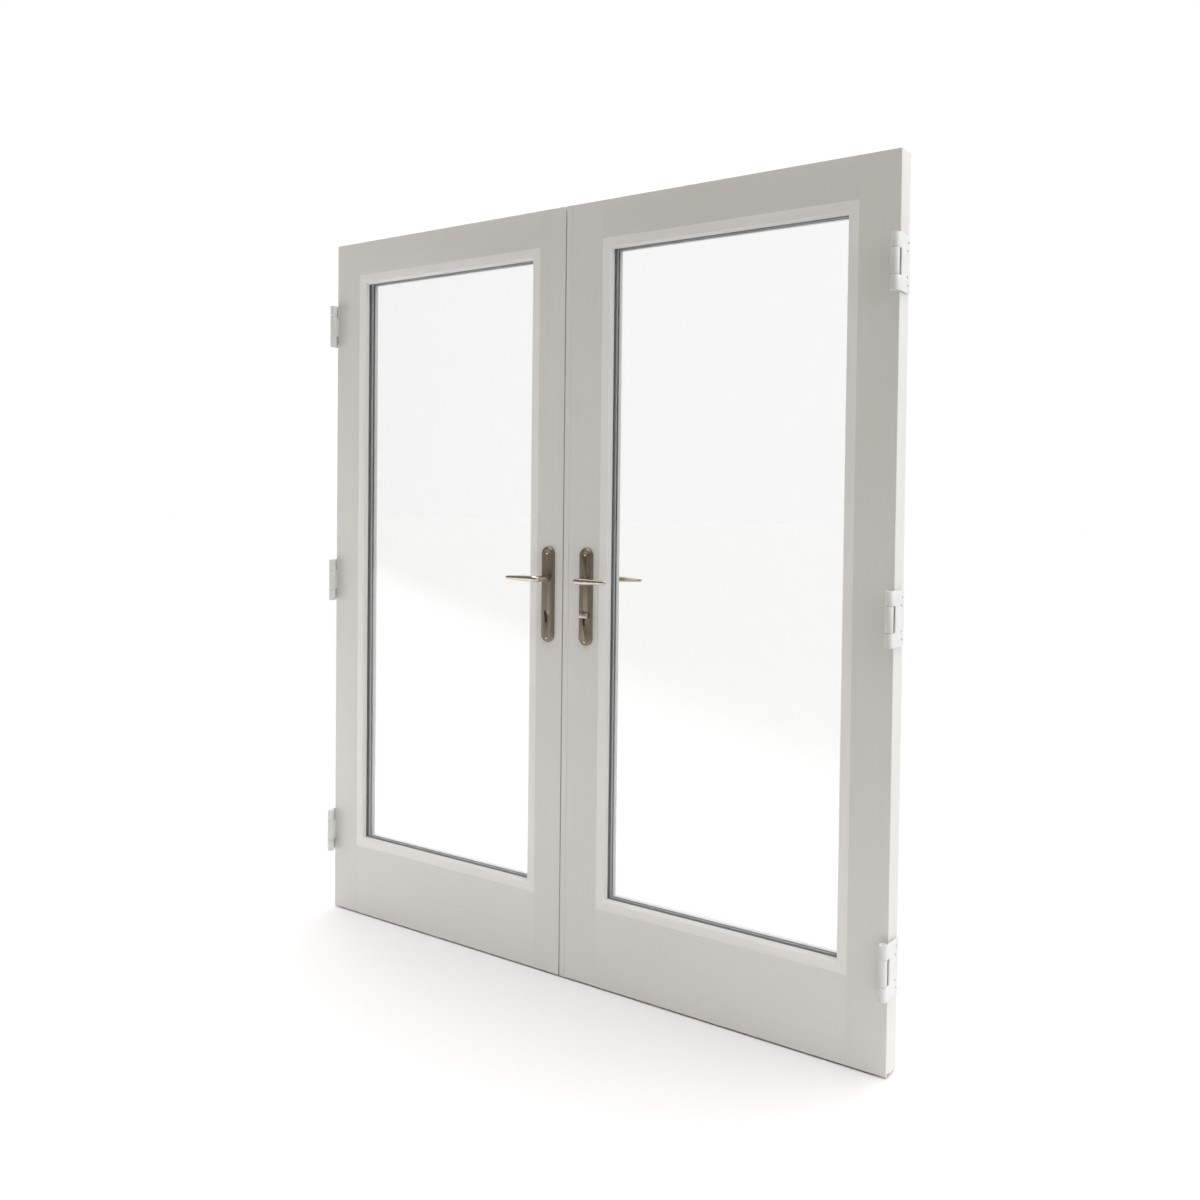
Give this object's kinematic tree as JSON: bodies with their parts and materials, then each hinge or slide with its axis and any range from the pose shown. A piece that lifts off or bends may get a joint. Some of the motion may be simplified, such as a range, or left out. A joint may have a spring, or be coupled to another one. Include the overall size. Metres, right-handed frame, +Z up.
{
  "type": "pair of glazed french doors",
  "caption": "White-painted timber french doors: two glazed leaves on projecting butt hinges, with lever handles, lift-thrown bolts and shoot rods.",
  "frame": {"origin": "on the floor line under the middle of the pair, at the middle of the leaves' thickness", "axes": "+Z up along the stiles, +X towards the right leaf's hinges, -Y towards the side with the hinge knuckles, to which both leaves open"},
  "size_m": [1.812, 0.1804, 2.04],
  "materials": {
    "white_paint": "satin white paint on planed timber",
    "hinge_paint": "white powder coat on steel",
    "satin_nickel": "brushed satin nickel",
    "zinc_steel": "bright zinc plate",
    "glass": "clear float glass",
    "spacer": "dark warm-edge spacer and edge seal",
    "gasket": "grey glazing gasket"
  },
  "bodies": {
    "root": {"left_frame_hinge_leaves": "hinge_paint", "left_hinge_pins": "zinc_steel", "right_frame_hinge_leaves": "hinge_paint", "right_hinge_pins": "zinc_steel"},
    "left_leaf": {"left_hinge_stile": "white_paint", "left_meeting_stile": "white_paint", "left_top_rail": "white_paint", "left_bottom_rail": "white_paint", "left_hinge_side_bead": "white_paint", "left_meeting_side_bead": "white_paint", "left_top_bead": "white_paint", "left_bottom_bead": "white_paint", "left_front_pane": "glass", "left_back_pane": "glass", "left_spacer": "spacer", "left_gaskets": "gasket", "left_door_hinge_leaves": "hinge_paint", "left_wood_screws": "zinc_steel", "left_front_plate": "satin_nickel", "left_back_plate": "satin_nickel", "left_plate_screws": "zinc_steel", "left_lock_case": "zinc_steel", "left_faceplate": "zinc_steel", "left_key_cylinder": "satin_nickel"},
    "right_leaf": {"right_hinge_stile": "white_paint", "right_meeting_stile": "white_paint", "right_top_rail": "white_paint", "right_bottom_rail": "white_paint", "right_hinge_side_bead": "white_paint", "right_meeting_side_bead": "white_paint", "right_top_bead": "white_paint", "right_bottom_bead": "white_paint", "right_front_pane": "glass", "right_back_pane": "glass", "right_spacer": "spacer", "right_gaskets": "gasket", "right_door_hinge_leaves": "hinge_paint", "right_wood_screws": "zinc_steel", "right_front_plate": "satin_nickel", "right_back_plate": "satin_nickel", "right_plate_screws": "zinc_steel", "right_lock_case": "zinc_steel", "right_faceplate": "zinc_steel", "right_key_cylinder": "satin_nickel", "right_bolt_cases": "zinc_steel", "right_meeting_bead": "white_paint"},
    "left_lever": {"left_front_lever": "satin_nickel", "left_back_lever": "satin_nickel", "left_spindle": "zinc_steel"},
    "right_lever": {"right_front_lever": "satin_nickel", "right_back_lever": "satin_nickel", "right_spindle": "zinc_steel"},
    "left_top_rod": {"left_top_rod": "zinc_steel"},
    "left_bottom_rod": {"left_bottom_rod": "zinc_steel"},
    "right_bolts": {"right_middle_bolt": "zinc_steel", "right_round_bolts": "zinc_steel"},
    "right_drive_rail": {"right_drive_rail": "zinc_steel"},
    "right_thumb_turn": {"right_thumb_turn": "satin_nickel"}
  },
  "joints": [
    {"name": "left_leaf_swing", "type": "hinge", "parent": "root", "child": "left_leaf", "pos_m": [-0.8965, -0.047, 1.016], "axis": [0, 0, -1], "range_deg": [0, 170]},
    {"name": "right_leaf_swing", "type": "hinge", "parent": "root", "child": "right_leaf", "pos_m": [0.8965, -0.047, 1.016], "axis": [0, 0, 1], "range_deg": [0, 170]},
    {"name": "left_lever_lift", "type": "hinge", "parent": "left_leaf", "child": "left_lever", "pos_m": [-0.063, 0, 1.06], "axis": [0, 1, 0], "range_deg": [0, 40], "stiffness_Nm_per_rad": 1.2, "springref_deg": -20.05},
    {"name": "right_lever_lift", "type": "hinge", "parent": "right_leaf", "child": "right_lever", "pos_m": [0.063, 0, 1.06], "axis": [0, -1, 0], "range_deg": [0, 40], "stiffness_Nm_per_rad": 1.2, "springref_deg": -20.05},
    {"name": "left_top_rod_slide", "type": "slide", "parent": "left_leaf", "child": "left_top_rod", "axis": [0, 0, 1], "range_m": [0, 0.02]},
    {"name": "left_bottom_rod_slide", "type": "slide", "parent": "left_leaf", "child": "left_bottom_rod", "axis": [0, 0, -1], "range_m": [0, 0.02]},
    {"name": "right_bolts_slide", "type": "slide", "parent": "right_leaf", "child": "right_bolts", "axis": [-1, 0, 0], "range_m": [0, 0.02]},
    {"name": "right_drive_rail_slide", "type": "slide", "parent": "right_leaf", "child": "right_drive_rail", "axis": [0, 0, 1], "range_m": [0, 0.02]},
    {"name": "right_thumb_turn_spin", "type": "hinge", "parent": "right_leaf", "child": "right_thumb_turn", "pos_m": [0.063, -0.035, 0.968], "axis": [0, 1, 0], "range_deg": [0, 90]}
  ],
  "couplings": [
    {"joint": "left_top_rod_slide", "follows": "left_lever_lift", "m_per_rad": 0.0286},
    {"joint": "left_bottom_rod_slide", "follows": "left_lever_lift", "m_per_rad": 0.0286},
    {"joint": "right_bolts_slide", "follows": "right_lever_lift", "m_per_rad": 0.0286},
    {"joint": "right_drive_rail_slide", "follows": "right_lever_lift", "m_per_rad": 0.0286}
  ]
}
